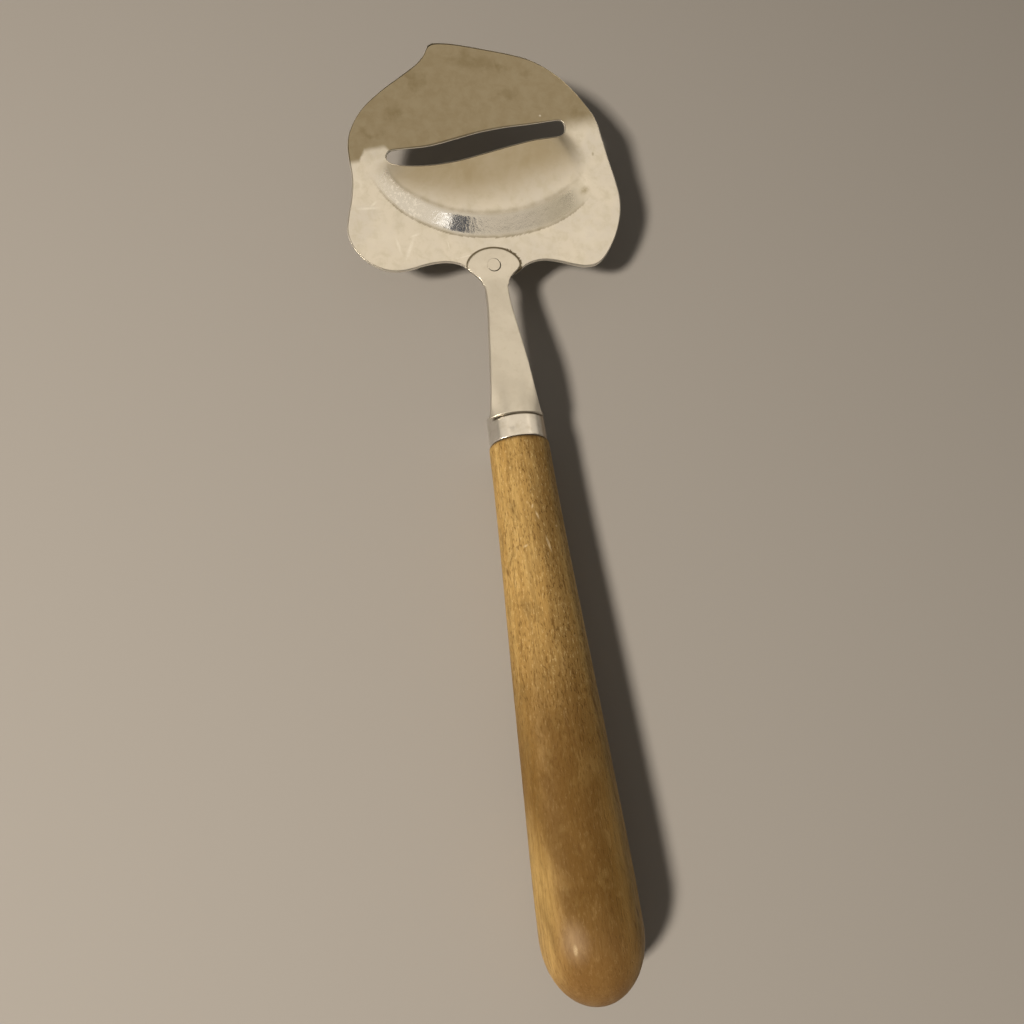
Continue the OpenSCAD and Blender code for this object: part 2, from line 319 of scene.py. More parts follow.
def plate_zones(outline, slot):
    """Grids of points on the flat sheet, one in front of the fold and one behind it."""
    fold = fold_dist(outline[:, 0], outline[:, 1])
    count = len(outline)

    def crossing(right):
        """The point of the outline just behind the fold, on the right or on the left."""
        for i in range(count):
            j = (i + 1) % count
            if (fold[i] > 0) != (fold[j] > 0) and (outline[i, 0] > 0) == right:
                return i if fold[i] < fold[j] else j

    def nearest(x, y):
        return int(np.hypot(outline[:, 0] - x, outline[:, 1] - y).argmin())

    def stretch(a, b, n):
        """n + 1 points along the outline from its point a to its point b."""
        return resample(outline[[(a + k) % count for k in range((b - a) % count + 1)]], n)

    fold_r, fold_l = crossing(True), crossing(False)
    front_r, front_l = nearest(31.6, 44.6), nearest(-33.2, 43.3)
    rear_r, rear_l = nearest(34.6, 6.6), nearest(-36.4, 6.2)
    columns = SLOT_COLUMNS + 2 * FOLD_COLUMNS
    seam_l = resample(np.array([outline[fold_l], slot[0]]), FOLD_COLUMNS)
    seam_r = resample(np.array([slot[SLOT_COLUMNS], outline[fold_r]]), FOLD_COLUMNS)
    lip_f = slot[:SLOT_COLUMNS + 1]
    lip_r = np.vstack([slot[0:1], slot[:SLOT_COLUMNS:-1], slot[SLOT_COLUMNS:SLOT_COLUMNS + 1]])
    front = coons(np.vstack([seam_l[:-1], lip_f, seam_r[1:]]), stretch(front_l, front_r, columns),
                  stretch(fold_l, front_l, FRONT_ROWS), stretch(front_r, fold_r, FRONT_ROWS)[::-1])
    rear = coons(np.vstack([seam_l[:-1], lip_r, seam_r[1:]]), stretch(rear_r, rear_l, columns)[::-1],
                 stretch(rear_l, fold_l, REAR_ROWS)[::-1], stretch(fold_r, rear_r, REAR_ROWS))
    return even_out(front), even_out(rear)


def build_plate():
    outline = loop_curve(OUTLINE, 14)
    lip_f = resample(open_curve(LIP_F, 14), SLOT_COLUMNS)
    lip_r = resample(open_curve(LIP_R, 14), SLOT_COLUMNS)
    slot = np.vstack([lip_f, lip_r[-2:0:-1]])
    front, rear = plate_zones(inward(outline, -EDGE_R), inward(slot, EDGE_R))

    # number the points of both grids; they share the fold on each side of the slot
    pts = np.vstack([front.reshape(-1, 2), rear.reshape(-1, 2)])
    n_front, n0 = front.size // 2, len(pts)
    in_front = np.arange(n0) < n_front
    iA = np.arange(n_front).reshape(front.shape[:-1])
    iB = np.arange(n_front, n0).reshape(rear.shape[:-1])
    slot_end = FOLD_COLUMNS + SLOT_COLUMNS
    shared = np.r_[:FOLD_COLUMNS + 1, slot_end:len(iA)]
    iB[shared, 0] = iA[shared, 0]
    rim_out = np.r_[iA[0, :-1], iA[:-1, -1], iA[-1, :0:-1], iB[-1, :-1], iB[:0:-1, -1], iB[0, :0:-1]]
    rim_slot = np.r_[iA[FOLD_COLUMNS:slot_end, 0], iB[slot_end:FOLD_COLUMNS:-1, 0]]

    # top and underside
    h, *marks = [np.where(in_front, 0, a) for a in step_height(pts[:, 0], pts[:, 1])]
    w = bend_height(pts[:, 0], pts[:, 1]) + h
    ground = sheet_thickness(pts[:, 0], pts[:, 1], lip_f[::2])
    thick = np.where(in_front, ground, PLATE_T)
    V = [to_world(pts[:, 0], pts[:, 1], w), to_world(pts[:, 0], pts[:, 1], w - thick)]
    F = [grid_faces(iA, False), grid_faces(iA, True) + n0, grid_faces(iB, True), grid_faces(iB, False) + n0]
    attr = [np.vstack([np.tile(np.stack(marks), 2), np.zeros((1, 2 * n0))])]

    # rounded rims: how far out from the grid, and how far below its top
    rounding = [(0.6 * EDGE_R, -0.02), (0.87 * EDGE_R, -0.05), (EDGE_R, -EDGE_R)]
    rounding += [(d, -PLATE_T - z) for d, z in rounding[::-1]]
    count = 2 * n0
    for rim, side in ((rim_out, 1), (rim_slot, -1)):
        m = len(rim)
        thin = thick[rim] / PLATE_T
        rows = [rim]
        for d, z in rounding:
            Q = inward(pts[rim], side * d)
            V.append(to_world(Q[:, 0], Q[:, 1], w[rim] + z * thin))
            attr.append(np.stack([a[rim] for a in marks] + [np.ones(m)]))
            rows.append(np.arange(count, count + m))
            count += m
        rows.append(rim + n0)
        for a, b in zip(rows[:-1], rows[1:]):
            Q = np.stack([a, np.roll(a, -1), np.roll(b, -1), b], -1)
            F.append(Q if side < 0 else Q[:, ::-1])

    # drop the points that the shared fold left over
    V, F, attr = np.vstack(V), np.vstack(F), np.concatenate(attr, 1)
    used = np.zeros(len(V), bool)
    used[F.ravel()] = True
    remap = np.cumsum(used) - 1
    ob = make("plate_sheet", V[used], remap[F])
    for name, values in zip(("band", "crease_grime_and_shade", "dome_shade", "rim"), attr[:, used]):
        layer = ob.data.attributes.new(name, "FLOAT", "POINT")
        layer.data.foreach_set("value", values.astype(np.float32))
    return ob


plate = build_plate()
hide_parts("slicer_plate")


# ---------------------------------------------------------------- ferrule
def build_ferrule():
    L, R, w = FERRULE_L, FERRULE_R, 0.8
    out = [(0.0, R - 0.35), (0.04, R - 0.16), (0.18, R - 0.03), (0.35, R), (L - 0.3, R), (L - 0.1, R - 0.06),
           (L, R - 0.2), (L, R - w + 0.1), (L - 0.1, R - w), (0.1, R - w), (0.0, R - w + 0.1)]
    prof = []
    for (y0, r0), (y1, r1) in zip(out, out[1:]):
        n = max(1, int(abs(y1 - y0) / 0.5))
        prof += [(y0 + (y1 - y0) * k / n, r0 + (r1 - r0) * k / n) for k in range(n)]
    prof.append(out[-1])
    rings = np.array(lathe(prof))
    ns, npt = rings.shape[:2]
    V = rings.reshape(-1, 3)
    F = []
    for i in range(ns):
        i2 = (i + 1) % ns
        for j in range(npt):
            k = (j + 1) % npt
            F.append((i * npt + j, i2 * npt + j, i2 * npt + k, i * npt + k))
    # a small staking dimple on the upper left
    for p in V:
        a = math.atan2(p[0], p[2])
        d = math.hypot((a + 0.30) * R, p[1] - 2.9)
        if d < 1.3 and math.hypot(p[0], p[2]) > R - 0.3:
            k = 0.12 * (0.5 + 0.5 * math.cos(math.pi * d / 1.3))
            p[0] *= 1 - k / R
            p[2] *= 1 - k / R
    return make("ferrule_tube", V, F)


ferrule = build_ferrule()
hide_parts("ferrule")


# ---------------------------------------------------------------- handle
BUTT_L = 14.6                                   # length of the rounded butt


def handle_radius(d):
    """Radius of the wood at distance d behind the ferrule."""
    c = open_curve([(0, 7.8), (14, 8.2), (30, 8.75), (58, 9.95), (87, 11.1), (104, 11.75),
                    (HANDLE_L - BUTT_L, HANDLE_R)], 16)
    return np.interp(d, c[:, 0], np.minimum(c[:, 1], HANDLE_R))


def build_handle():
    prof = [(FERRULE_L - 0.3, 0.3), (FERRULE_L - 0.3, 5.8), (FERRULE_L - 0.8, 6.68), (0.02, 6.68), (0.0, 7.0),
            (-0.01, 7.15), (-0.07, 7.42), (-0.22, 7.62), (-0.45, 7.74)]
    body = HANDLE_L - BUTT_L
    for d in np.linspace(0.8, body, 150):
        prof.append((-d, float(handle_radius(d))))
    for a in np.linspace(0, 90, 34)[1:-1]:
        prof.append((-body - BUTT_L * math.sin(math.radians(a)), HANDLE_R * math.cos(math.radians(a))))
    prof.append((-HANDLE_L, 0.15))
    rings = lathe(prof)
    V, F = loft(rings[::-1])
    V = V.copy()
    # wear: the wood is very slightly out of round, fading out towards both ends
    a = np.arctan2(V[:, 0], V[:, 2])
    y = V[:, 1]
    on = smooth(-y / 12.0) * smooth((y + HANDLE_L) / 14.0)
    k = 1 - on * (0.004 * (1 - np.cos(2 * a + 0.8)) + 0.0025 * (1 + np.sin(y / 17.0 + 3 * a)))
    V[:, 0] *= k
    V[:, 2] *= k
    return make("handle_wood", V, F)


handle = build_handle()
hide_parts("handle")


# ---------------------------------------------------------------- shank
SHANK_T = 0.9                                   # thickness of its sheet
SHANK_X = -0.45                                     # its line lies this far left of the handle's
REAR_Y, REAR_Z = 5.9, FERRULE_R + SHANK_T       # top of its rear end, on the ferrule
BEND_Y = 45.6                                       # where it bends up to lie on the plate
BEND_Z = PLATE_Z + (BEND_Y - RIVET_Y) * math.tan(PITCH) + SHANK_T
SLOPE = (BEND_Z - REAR_Z) / (BEND_Y - REAR_Y)
RIVET_R = 1.72
HOLE_X, HOLE_Y = 0.115, -0.115                  # the hole lies a little off the rivet
HOLE_R = RIVET_R + 0.13

# top line of the shank: two straight stretches with a short curve between them
LINE_Y = np.linspace(REAR_Y, 56.0, 600)
rear_line = REAR_Z + SLOPE * (LINE_Y - REAR_Y)
head_line = PLATE_Z + (LINE_Y - RIVET_Y) * math.tan(PITCH) + SHANK_T / math.cos(PITCH)
LINE_Z = (rear_line + head_line) / 2 + np.sqrt((rear_line - head_line) ** 2 / 4 + 0.15 ** 2)
LINE_Q = np.r_[0, np.cumsum(np.hypot(np.diff(LINE_Y), np.diff(LINE_Z)))]
Q_RIVET = float(np.interp(RIVET_Y - SHANK_T * math.sin(PITCH), LINE_Y, LINE_Q))
Q_NECK = Q_RIVET - 5.6
LINE_M = np.gradient(LINE_Z, LINE_Y)


def shank_place(x, q, depth):
    """Points at x across and q along the shank, at a depth below its crowned top."""
    x, q, depth = np.broadcast_arrays(np.asarray(x, float), q, depth)
    y = np.interp(q, LINE_Q, LINE_Y)
    z = np.interp(q, LINE_Q, LINE_Z)
    m = np.interp(q, LINE_Q, LINE_M)
    t = (y - REAR_Y) / (BEND_Y - REAR_Y)
    bend = (1 - smooth(t / 0.5)) ** 1.4 / 8.4   # curvature of the section, round the ferrule at the rear
    sag = x * x * bend / (1 + np.sqrt(np.maximum(1 - (x * bend) ** 2, 0.05)))
    lean = m * smooth(t / 0.10)                  # the rear end is cut square
    n = np.sqrt(1 + lean * lean)
    d = sag + depth
    return np.stack([SHANK_X + x, y + lean / n * d, z - d / n], -1)


def build_shank():
    M, NB, K, RINGS = 12, 84, 96, 12
    side = open_curve([(6.85, 0), (5.85, 6.8), (4.95, 15.2), (4.15, 23.2), (3.3, 31.2), (3.12, 35.2),
                       (3.2, 38.2), (3.5, Q_NECK)], 12)
    side = resample(side, NB)
    right = [(3.5, -5.6), (3.95, -4.2), (5.0, -2.9), (6.55, -1.5), (7.1, -0.3), (6.75, 1.2), (5.4, 2.75),
             (3, 4.1)]
    head = open_curve(right + [(0, 4.6)] + [(-x, y) for x, y in right[::-1]], 14)
    head = resample(head, K) + [0, Q_RIVET]
    rear = np.stack([np.linspace(-side[0, 0], side[0, 0], 2 * M + 1), np.zeros(2 * M + 1)], -1)
    left = side[::-1] * [-1, 1]
    loop = np.vstack([rear[:-1], side[:-1], head[:-1], left[:-1]])
    n = len(loop)
    i_side, i_head, i_left = 2 * M, 2 * M + NB, 2 * M + NB + K
    # how deep the turned-down edges are, along the loop
    t = np.interp(loop[:, 1], LINE_Q, (LINE_Y - REAR_Y) / (BEND_Y - REAR_Y))
    flange = 1.45 * smooth((t - 0.05) / 0.3) * (1 - smooth((t - 0.80) / 0.18))
    V, F = [], []

    def add(P, depth):
        k = sum(len(a) for a in V)
        V.append(shank_place(P[:, 0], P[:, 1], depth))
        return np.arange(k, k + len(P))

    def strip(a, b):
        """Faces between two closed loops, walking from a to b over the surface."""
        F.append(np.stack([a, b, np.roll(b, -1), np.roll(a, -1)], -1))

    def sheet(edge, depth, up):
        """Body rows and rings round the rivet's hole, inside a closed edge of points and their numbers."""
        P, ids = edge
        rows = [ids[:2 * M + 1]]
        for j in range(1, NB + 1):
            a, b = (i_left + NB - j) % n, i_side + j
            k = np.linspace(0, 1, 2 * M + 1)[1:-1, None]
            inner = add(P[a] * (1 - k) + P[b] * k, depth)
            rows.append(np.r_[ids[a], inner, ids[b]])
        for a, b in zip(rows, rows[1:]):
            Q = np.stack([a[:-1], a[1:], b[1:], b[:-1]], -1)
            F.append(Q if up else Q[:, ::-1])
        neck = rows[-1]
        ring = np.r_[neck[:-1], ids[i_head:i_left]]
        kk = np.linspace(0, 1, 2 * M + 1)[:-1, None]
        outer = np.vstack([P[i_left % n] * (1 - kk) + P[i_head] * kk, P[i_head:i_left]])
        d = outer - [0, Q_RIVET]
        ang = np.arctan2(d[:, 1], d[:, 0])
        hole = np.stack([HOLE_X + HOLE_R * np.cos(ang), Q_RIVET + HOLE_Y + HOLE_R * np.sin(ang)], -1)
        prev = ring
        for f in np.r_[np.linspace(0, 0.985, RINGS), 1.0][1:]:
            cur = add(outer * (1 - f) + hole * f, depth)
            if up:
                strip(cur, prev)
            else:
                strip(prev, cur)
            prev = cur
        return prev, hole

    edge_r = 0.34
    P0 = inward(loop, edge_r)
    top = add(P0, 0.0)
    top_hole, hole = sheet((P0, top), 0.0, True)
    prev = top
    for a in np.radians([22, 45, 68, 90]):
        cur = add(inward(loop, edge_r * (1 - math.sin(a))), edge_r * (1 - math.cos(a)))
        strip(prev, cur)
        prev = cur
    low = SHANK_T + flange
    turned = [(0, low - 0.1), (0.03, low - 0.03), (0.1, low), (0.72, low), (0.8, low - 0.1 * (flange > 0.2)),
              (0.82, SHANK_T + 0.35 * flange)]
    for inset, depth in turned:
        cur = add(inward(loop, inset), depth)
        strip(prev, cur)
        prev = cur
    P1 = inward(loop, 1.05)
    under = add(P1, SHANK_T)
    strip(prev, under)
    low_hole, _ = sheet((P1, under), SHANK_T, False)
    wall = add(hole, np.full(len(hole), 0.1))
    strip(low_hole, wall)
    strip(wall, top_hole)
    return make("shank_pressing", np.vstack(V), np.vstack(F))


shank = build_shank()
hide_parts("shank")


# ---------------------------------------------------------------- rivet
def build_rivet():
    a = np.linspace(0, 2 * math.pi, 64, endpoint=False)
    r = RIVET_R
    top, foot = SHANK_T - 0.004, -PLATE_T
    prof = [(top, 0.05), (top, 0.6), (top, r - 0.1), (top - 0.004, r - 0.02), (SHANK_T - 0.03, r),
            (SHANK_T - 0.3, r), (foot, r), (foot, 2.4), (foot - 0.12, 2.7), (foot - 0.4, 2.62),
            (foot - 0.6, 2.2), (foot - 0.69, 1.4), (foot - 0.7, 0.05)]
    rings = [to_world(SHANK_X + rr * np.cos(a), rr * np.sin(a), np.full(len(a), w)) for w, rr in prof]
    V, F = loft(rings[::-1])
    return make("rivet_pin", V, F)


rivet = build_rivet()
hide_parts("blade_rivet")


# ---------------------------------------------------------------- tang
def build_tang():
    w, r = 2.8, 0.25

    def under(y):
        """Height of the bar where it lies under the shank."""
        return REAR_Z + SLOPE * (y - REAR_Y) - SHANK_T - 1.02
    mid = [(-60, 0), (-20, 0), (4, 0), (FERRULE_L + 0.2, 0.05), (11, 1.6), (14, 3.7)]
    mid += [(y, under(y)) for y in (16.5, 20, 34)]
    C = resample(open_curve(mid, 10), 110)
    t = np.gradient(C, axis=0)
    t /= np.hypot(t[:, 0], t[:, 1])[:, None]
    sec = []
    for quarter, (sx, sz) in enumerate(((1, 1), (-1, 1), (-1, -1), (1, -1))):
        for k in range(4):
            a = math.pi / 2 * (quarter + k / 3)
            sec.append((sx * (w - r) + r * math.cos(a), sz * (1 - r) + r * math.sin(a)))
    rings = [[(x, y - ty * z, zc + tx * z) for x, z in sec] for (y, zc), (tx, ty) in zip(C, t)]
    V, F = loft(rings)
    return make("tang_bar", V, [f[::-1] for f in F])


tang = build_tang()
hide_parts("tang")


# ---------------------------------------------------------------- materials
class Nodes:
    """Short helpers for one material. self.mm is the working frame in millimetres."""
    def __init__(self, name):
        self.mat = bpy.data.materials.new(name)
        self.mat.use_nodes = True
        self.tree = self.mat.node_tree
        self.bsdf = self.tree.nodes["Principled BSDF"]
        obj = self.new("ShaderNodeTexCoord").outputs["Object"]
        self.mm = self.place(obj, scale=(1000, 1000, 1000), loc=tuple(-ORG * 1000))

    def new(self, kind, **kw):
        x = self.tree.nodes.new(kind)
        for k, v in kw.items():
            setattr(x, k, v)
        return x

    def feed(self, value, socket):
        if isinstance(value, bpy.types.NodeSocket):
            self.tree.links.new(value, socket)
        elif isinstance(value, tuple) and socket.type == "RGBA":
            socket.default_value = value + (1,)
        else:
            socket.default_value = value

    def set(self, **kw):
        for k, v in kw.items():
            self.feed(v, self.bsdf.inputs[k.replace("_", " ")])

    def place(self, vec, scale=(1, 1, 1), loc=(0, 0, 0), rot=(0, 0, 0), kind="POINT"):
        x = self.new("ShaderNodeMapping", vector_type=kind)
        self.feed(scale, x.inputs["Scale"])
        self.feed(loc, x.inputs["Location"])
        self.feed(rot, x.inputs["Rotation"])
        self.feed(vec, x.inputs["Vector"])
        return x.outputs["Vector"]

    def noise(self, vec, scale, detail=3, rough=0.55, dist=0.0, out="Fac"):
        x = self.new("ShaderNodeTexNoise")
        settings = {"Vector": vec, "Scale": scale, "Detail": detail, "Roughness": rough, "Distortion": dist}
        for k, v in settings.items():
            self.feed(v, x.inputs[k])
        return x.outputs[out]

    def math(self, op, a, b=0.0, clamp=False):
        x = self.new("ShaderNodeMath", operation=op, use_clamp=clamp)
        self.feed(a, x.inputs[0])
        self.feed(b, x.inputs[1])
        return x.outputs[0]

    def product(self, *factors):
        out = factors[0]
        for f in factors[1:]:
            out = self.math("MULTIPLY", out, f)
        return out

    def plus(self, a, b, clamp=False):
        return self.math("ADD", a, b, clamp)

    def minus(self, a, b, clamp=False):
        return self.math("SUBTRACT", a, b, clamp)

    def vec(self, op, a, b=(0, 0, 0), out=0):
        x = self.new("ShaderNodeVectorMath", operation=op)
        self.feed(a, x.inputs[0])
        self.feed(b, x.inputs[1])
        return x.outputs[out]

    def step(self, x, lo, hi, a=0.0, b=1.0):
        """Smooth change from a to b while x goes from lo to hi."""
        m = self.new("ShaderNodeMapRange", interpolation_type="SMOOTHSTEP")
        for k, v in (("Value", x), ("From Min", lo), ("From Max", hi), ("To Min", a), ("To Max", b)):
            self.feed(v, m.inputs[k])
        return m.outputs[0]

    def mix(self, fac, a, b):
        """From a to b as fac goes from 0 to 1."""
        x = self.new("ShaderNodeMix", data_type="RGBA")
        self.feed(fac, x.inputs[0])
        self.feed(a, x.inputs[6])
        self.feed(b, x.inputs[7])
        return x.outputs[2]

    def bump(self, height, strength, dist, normal=None):
        x = self.new("ShaderNodeBump")
        self.feed(strength, x.inputs["Strength"])
        self.feed(dist, x.inputs["Distance"])
        self.feed(height, x.inputs["Height"])
        if normal is not None:
            self.feed(normal, x.inputs["Normal"])
        return x.outputs["Normal"]

    def xyz(self, vec):
        x = self.new("ShaderNodeSeparateXYZ")
        self.feed(vec, x.inputs[0])
        return x.outputs

    def spot(self, vec, at, size, turn=0, soft=1.0, deep=1e4):
        """1 at a place, falling to 0 on an ellipse of the given half sizes."""
        p = self.place(vec, scale=(size[0], size[1], deep), loc=(at[0], at[1], 0),
                       rot=(0, 0, math.radians(turn)), kind="TEXTURE")
        return self.step(self.vec("LENGTH", p, out=1), 1.0, 1.0 - soft)

    def most(self, sockets):
        out = sockets[0]
        for s in sockets[1:]:
            out = self.math("MAXIMUM", out, s)
        return out

    def spots(self, vec, places):
        """The strongest of several spots; each is (centre, half sizes, turn in degrees, softness)."""
        return self.most([self.spot(vec, *place) for place in places])

    def attr(self, name):
        return self.new("ShaderNodeAttribute", attribute_name=name).outputs["Fac"]


STEEL = (0.76, 0.735, 0.685)


def times(c, k):
    """A colour scaled by one factor or by three."""
    return tuple(a * b for a, b in zip(c, k if isinstance(k, tuple) else (k, k, k)))


# places on the plate, in its own coordinates: (centre, half sizes, turn in degrees, softness)
BLOTCHES = [((1.0, 60.0), (9, 3.2), -8, 0.9), ((-16, 55), (3.4, 6.2), 35, 0.8),
            ((-22.8, 44.8), (2.6, 4), 20, 0.9), ((-30, 38.4), (4.2, 2.2), 10, 0.9),
            ((16, 56), (3, 2.4), 0, 0.9), ((9, 49), (5, 2), 12, 1.0),
            ((29.5, 43), (3.4, 1.8), -35, 0.9), ((7.6, 58.6), (1.6, 2.4), 30, 0.8)]
RUBBED = [((-34, 24), (1.8, 3.2), 12, 1.0), ((-29, 9), (6, 4.5), 25, 1.0), ((27, 8), (6, 6), 0, 1.0)]
SCRATCHES = [((-22.3, 5.9), (0.75, 5.6), -24, 1.0), ((-20.6, 9.6), (2.2, 0.6), 22, 1.0),
             ((-25.2, 6.9), (0.6, 3.6), 12, 1.0), ((-32.2, 17.7), (4.6, 0.6), 1, 1.0),
             ((-30.6, 18.8), (0.55, 1.8), -50, 1.0), ((-11.9, 6.4), (0.25, 1.8), 8, 0.9),
             ((-7, 3.2), (5.5, 0.22), 12, 0.9), ((17.7, 42.6), (0.4, 0.4), 0, 0.6)]
SMUTS = [((27.4, 20.0), (2.6, 1.5), 35, 1.0), ((31.3, 30.7), (0.5, 0.8), 0, 0.9)]


def front_tarnish_and_shade(g, flat, u, v):
    """1 on the darker front part, partly tarnish and partly painted shade of its reflection; its boundary is
    the bend, with a jog left of the slot.
    """
    jog_u = g.plus(u, g.product(g.minus(g.noise(flat, 0.5, 2), 0.5), 1.6))
    jog = g.product(g.step(jog_u, -33.3, -31.5), g.step(u, -23.5, -26.5))
    d = g.minus(g.minus(v, FOLD_V), g.product(u, FOLD_K))
    d = g.minus(d, g.product(jog, 2.9))
    right_side = g.step(u, 22, 26)
    d = g.plus(d, g.product(right_side, 1.0))
    return g.step(g.math("DIVIDE", d, g.plus(g.product(right_side, 2.2), 1.0)), -0.9, 1.1)


def head_seam_grime_and_shade(g, u, v, fine):
    """1 in the dark line round the shank's head, partly grime and partly painted shade of the gap, ragged on
    its right.
    """
    ax = g.math("DIVIDE", g.math("ABSOLUTE", g.minus(u, SHANK_X + 0.12)), 7.1)
    ay = g.math("DIVIDE", g.math("MAXIMUM", g.minus(v, 0.35), 0.0), 4.8)
    ring = g.math("POWER", g.plus(g.math("POWER", ax, 1.9), g.math("POWER", ay, 1.9)), 1 / 1.9)
    ragged = g.product(g.step(u, 1.0, 5.0), g.step(fine, 0.35, 0.62), 0.06)
    return g.step(g.minus(ring, g.plus(ragged, 1.035)), 0.03, -0.01)


def plate_material():
    g = Nodes("plate_steel")
    flat = g.place(g.place(g.mm, loc=(0, -RIVET_Y, -PLATE_Z)), rot=(-PITCH, 0, 0))
    split = g.xyz(flat)
    u, v = split["X"], split["Y"]
    wander = g.vec("SUBTRACT", g.noise(flat, 0.22, 3, out="Color"), (0.5, 0.5, 0.5))
    warped = g.vec("ADD", flat, g.vec("MULTIPLY", wander, (9, 9, 0)))
    cloud = g.noise(flat, 0.075, 4, 0.6, 0.4)
    mottle = g.noise(flat, 0.35, 5, 0.65, 0.3)
    fine = g.noise(flat, 2.4, 3, 0.6)
    pitted = g.noise(flat, 0.9, 3, 0.6)
    front = front_tarnish_and_shade(g, flat, u, v)
    below = g.step(g.xyz(g.new("ShaderNodeNewGeometry").outputs["Normal"])["Z"], 0.0, -0.5)

    # clean steel behind the bend; darker in front of it and on the underside, partly tarnish and partly
    # painted shade
    clean = g.mix(g.step(cloud, 0.35, 0.65), times(STEEL, 0.97), times(STEEL, (1.04, 1.03, 1.0)))
    clean = g.mix(g.step(mottle, 0.42, 0.70, 0, 0.7), clean, times(STEEL, (0.88, 0.87, 0.80)))
    tarnish_and_shade = g.mix(g.step(mottle, 0.3, 0.7), (0.37, 0.322, 0.228), (0.335, 0.285, 0.192))
    blotch = g.product(g.spots(warped, BLOTCHES), g.step(mottle, 0.2, 0.65, 0.2, 0.5))
    tarnish_and_shade = g.mix(blotch, tarnish_and_shade, (0.235, 0.19, 0.105))
    col = g.mix(g.most([front, below]), clean, tarnish_and_shade)

    # lighter rubbed places and scratches on the rear part
    rub = g.product(g.spots(warped, RUBBED), g.step(mottle, 0.35, 0.6, 0.1, 0.5))
    col = g.mix(rub, col, (0.90, 0.875, 0.82))
    lines = g.product(g.spots(flat, SCRATCHES), g.step(fine, 0.3, 0.6, 0.35, 0.75))
    col = g.mix(lines, col, (0.93, 0.91, 0.86))

    # the band of the crescent is rubbed bright, duller to the right; its raised middle is painted darker
    # towards the slot, as shade of its curve;
    # grime and painted shade sit in its creases, grime at its right end, and grime and painted shade of the
    # gap round the shank's head
    band, crease_grime_and_shade, dome_shade, rim = g.attr("band"), g.attr("crease_grime_and_shade"), g.attr("dome_shade"), g.attr("rim")
    polish = g.mix(g.step(u, -14, 3), (0.68, 0.675, 0.655), (0.55, 0.535, 0.50))
    polish = g.mix(g.step(u, 8, 20), polish, (0.47, 0.45, 0.385))
    col = g.mix(g.product(band, 0.9), col, polish)
    col = g.mix(g.product(dome_shade, g.step(cloud, 0.3, 0.6, 0.8, 1.0)), col, (0.41, 0.35, 0.24))
    # the creases are darkened, partly grime and partly painted shade
    col = g.mix(g.product(crease_grime_and_shade, g.step(mottle, 0.3, 0.6, 0.5, 0.8)), col, (0.27, 0.235, 0.165))
    smut = g.product(g.spots(flat, SMUTS), g.step(fine, 0.3, 0.6, 0.4, 0.9))
    col = g.mix(smut, col, (0.40, 0.36, 0.26))
    # lighter specks on the band's left: painted glints of the lamp's highlight
    highlight_speck = g.product(band, g.step(u, -16, -20), g.step(g.noise(flat, 1.3, 3, 0.6), 0.5, 0.62))
    col = g.mix(g.product(highlight_speck, 0.5), col, (0.93, 0.925, 0.90))
    # the rounded rims are lighter: partly bright cut edges, partly painted highlight
    col = g.mix(rim, col, (0.93, 0.90, 0.83))
    # the dark line round the shank's head: grime and painted shade of the gap
    seam = g.product(head_seam_grime_and_shade(g, u, v, fine), g.minus(1.0, below))
    col = g.mix(g.product(seam, 0.88), col, (0.135, 0.105, 0.05))

    rough = g.plus(g.product(mottle, 0.14), 0.29)
    rough = g.plus(rough, g.product(front, 0.07))
    rough = g.minus(rough, g.product(band, g.step(u, -2, 12, 0.22, 0.10)))
    rough = g.plus(rough, g.product(rim, 0.12))
    rough = g.plus(rough, g.product(seam, 0.3), True)
    nrm = g.bump(fine, 0.05, 0.0002)
    nrm = g.bump(g.product(mottle, g.minus(1.0, band)), 0.05, 0.0006, nrm)
    nrm = g.bump(g.product(pitted, band), 0.10, 0.0005, nrm)
    nrm = g.bump(lines, 0.15, 0.0002, nrm)
    g.set(Metallic=1.0, Base_Color=col, Roughness=rough, Normal=nrm)
    return g.mat


def shank_material():
    g = Nodes("shank_steel")
    cloud = g.noise(g.mm, 0.12, 4, 0.6, 0.3)
    mottle = g.noise(g.mm, 0.6, 4, 0.6)
    drag = g.noise(g.place(g.mm, scale=(1, 0.12, 1)), 1.6, 3, 0.5)
    col = g.mix(g.step(cloud, 0.35, 0.68), times(STEEL, (1.0, 0.995, 0.97)), times(STEEL, (0.91, 0.90, 0.87)))
    col = g.mix(g.step(mottle, 0.5, 0.78, 0, 0.45), col, times(STEEL, (0.82, 0.80, 0.74)))
    rough = g.plus(g.product(drag, 0.12), 0.31)
    g.set(Metallic=1.0, Base_Color=col, Roughness=rough, Normal=g.bump(mottle, 0.05, 0.0004))
    return g.mat


def ferrule_material():
    g = Nodes("ferrule_steel")
    mottle = g.noise(g.mm, 0.45, 4, 0.6)
    turned = g.noise(g.place(g.mm, scale=(0.15, 2.2, 0.15)), 1.0, 2)
    col = g.mix(g.step(mottle, 0.45, 0.75), (0.77, 0.75, 0.71), (0.67, 0.64, 0.58))
    # a dark line where the shank's end lies on the ferrule: painted shadow of the gap under the shank
    seam = g.product(g.step(g.xyz(g.mm)["Y"], 5.45, 5.75), g.step(g.xyz(g.mm)["Z"], 3.2, 4.6))
    col = g.mix(g.product(seam, 0.85), col, (0.12, 0.095, 0.06))
    # the right side is painted darker, as shade
    painted_shade = g.step(g.xyz(g.mm)["X"], 4.9, 6.2, 0.0, 0.92)
    col = g.mix(painted_shade, col, (0.27, 0.21, 0.145))
    rough = g.plus(g.product(mottle, 0.12), 0.24)
    g.set(Metallic=1.0, Base_Color=col, Roughness=rough, Normal=g.bump(turned, 0.03, 0.0002))
    return g.mat


